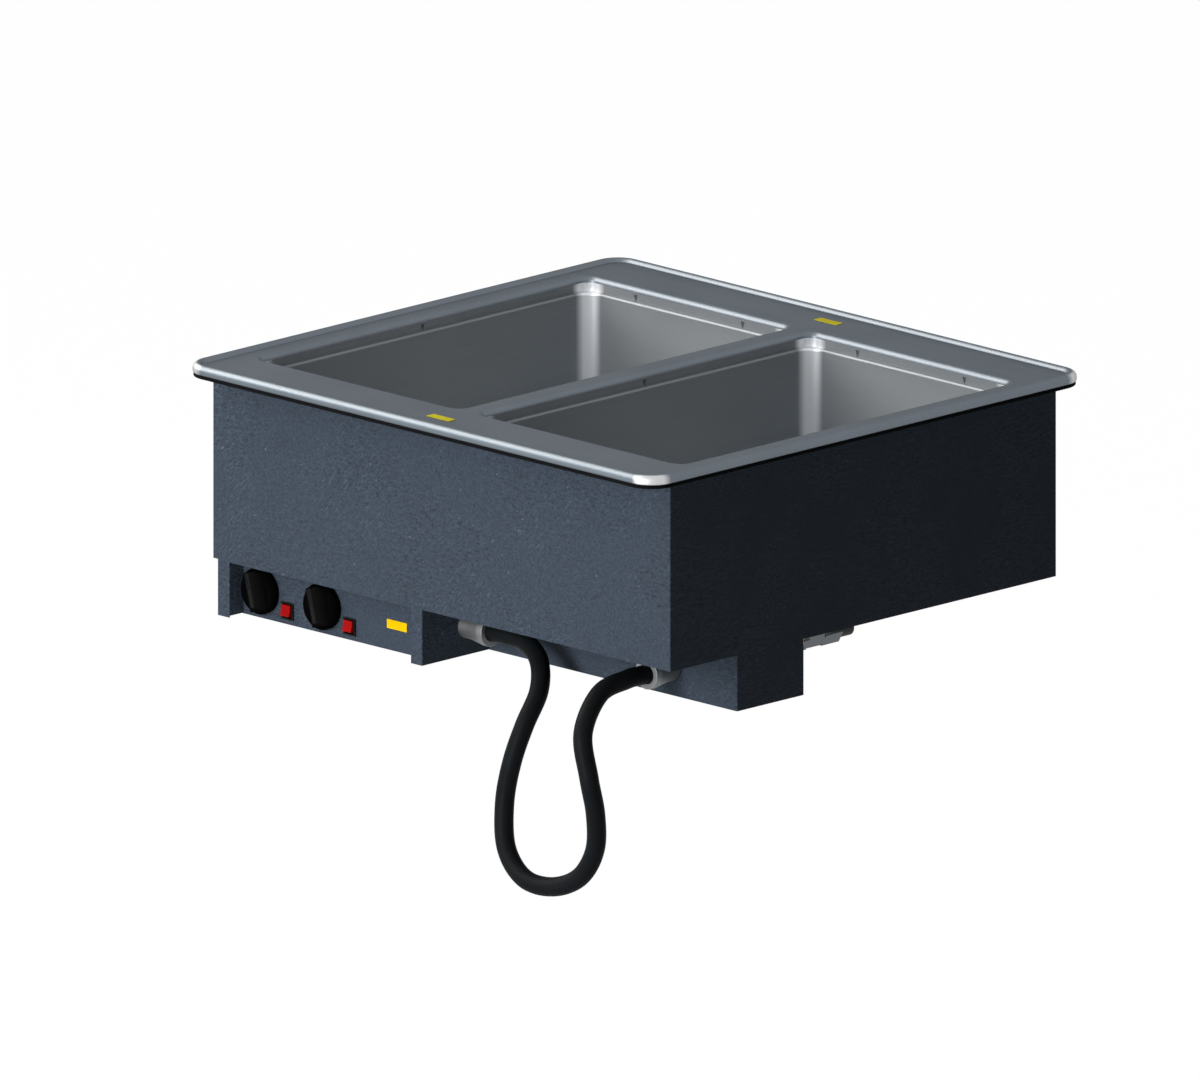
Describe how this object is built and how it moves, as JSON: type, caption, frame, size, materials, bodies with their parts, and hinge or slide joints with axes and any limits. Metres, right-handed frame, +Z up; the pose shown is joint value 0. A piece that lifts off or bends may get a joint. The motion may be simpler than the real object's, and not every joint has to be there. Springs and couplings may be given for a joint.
{
  "type": "steam table",
  "caption": "Drop-in steam table: a stainless deck with two heated pan wells in an insulated casing, with a control box, flexible conduit and drain valve underneath.",
  "frame": {"origin": "centre of the deck, on the underside of the lip's gasket, where it rests on the counter", "axes": "+X to the operator's right along the longest side, +Y away from the operator, +Z up out of the counter"},
  "size_m": [0.713, 0.6729, 0.4925],
  "materials": {
    "deck_steel": "satin",
    "well_steel": "satin",
    "fitting_steel": "satin",
    "dark_steel": "satin, heat-darkened",
    "plated_steel": "zinc plated",
    "casing_paint": "lightly textured satin",
    "zinc_casting": "matte cast",
    "bright_metal": "polished",
    "brass": "machined",
    "copper": "drawn copper tube",
    "gasket_foam": "matte",
    "conduit_jacket": "satin",
    "spout_rubber": "matte",
    "knob_plastic": "satin",
    "switch_black": "gloss",
    "switch_red": "gloss",
    "label_yellow": "gloss film",
    "device_plastic": "matte",
    "block_plastic": "matte",
    "seat_plastic": "smooth",
    "lead_jacket": "satin",
    "wool": "fibrous"
  },
  "bodies": {
    "table": {"top_deck": "deck_steel", "deck_gasket": "gasket_foam", "well_left": "well_steel", "well_right": "well_steel", "drain_left": "fitting_steel", "drain_right": "fitting_steel", "drain_nuts": "brass", "strainer_left": "fitting_steel", "strainer_right": "fitting_steel", "heater_left": "dark_steel", "heater_right": "dark_steel", "element_clips": "plated_steel", "tray_left": "plated_steel", "tray_right": "plated_steel", "limiters": "device_plastic", "side_insulation": "wool", "floor_insulation": "wool", "outer_casing": "casing_paint", "casing_floor": "casing_paint", "duct_shell": "casing_paint", "duct_cover": "casing_paint", "control_housing": "casing_paint", "control_panel": "casing_paint", "control_cover": "casing_paint", "regulator_left": "device_plastic", "regulator_right": "device_plastic", "regulator_screws": "plated_steel", "switch_frame_left": "switch_black", "switch_frame_right": "switch_black", "fitting_left": "zinc_casting", "fitting_right": "zinc_casting", "fitting_nut_left": "zinc_casting", "fitting_nut_right": "zinc_casting", "locknuts": "plated_steel", "flex_conduit": "conduit_jacket", "panel_label": "label_yellow", "front_label": "label_yellow", "rear_label": "label_yellow", "drain_manifold": "copper", "valve_body": "fitting_steel", "valve_seats": "seat_plastic", "packing_nut": "fitting_steel", "outlet_nut": "fitting_steel", "outlet_spout": "spout_rubber", "supply_bushing": "device_plastic", "terminal_block": "block_plastic", "ground_lug": "brass", "wiring": "lead_jacket", "cover_screws": "plated_steel"},
    "left_control": {"knob_left": "knob_plastic", "shaft_left": "plated_steel"},
    "right_control": {"knob_right": "knob_plastic", "shaft_right": "plated_steel"},
    "left_switch": {"switch_paddle_left": "switch_red"},
    "right_switch": {"switch_paddle_right": "switch_red"},
    "valve_handle": {"valve_ball": "bright_metal", "valve_stem": "fitting_steel", "valve_lever": "knob_plastic", "lever_nut": "plated_steel"}
  },
  "joints": [
    {"name": "left_knob_turn", "type": "hinge", "parent": "table", "child": "left_control", "pos_m": [-0.2925, -0.271, -0.237], "axis": [0, 1, 0], "range_deg": [0, 270]},
    {"name": "right_knob_turn", "type": "hinge", "parent": "table", "child": "right_control", "pos_m": [-0.1985, -0.271, -0.237], "axis": [0, 1, 0], "range_deg": [0, 270]},
    {"name": "left_switch_rock", "type": "hinge", "parent": "table", "child": "left_switch", "pos_m": [-0.254, -0.268, -0.253], "axis": [1, 0, 0], "range_deg": [0, 20]},
    {"name": "right_switch_rock", "type": "hinge", "parent": "table", "child": "right_switch", "pos_m": [-0.16, -0.268, -0.253], "axis": [1, 0, 0], "range_deg": [0, 20]},
    {"name": "valve_lever_swing", "type": "hinge", "parent": "table", "child": "valve_handle", "pos_m": [0.3, -0.0355, -0.222], "axis": [1, 0, 0], "range_deg": [0, 90]}
  ]
}
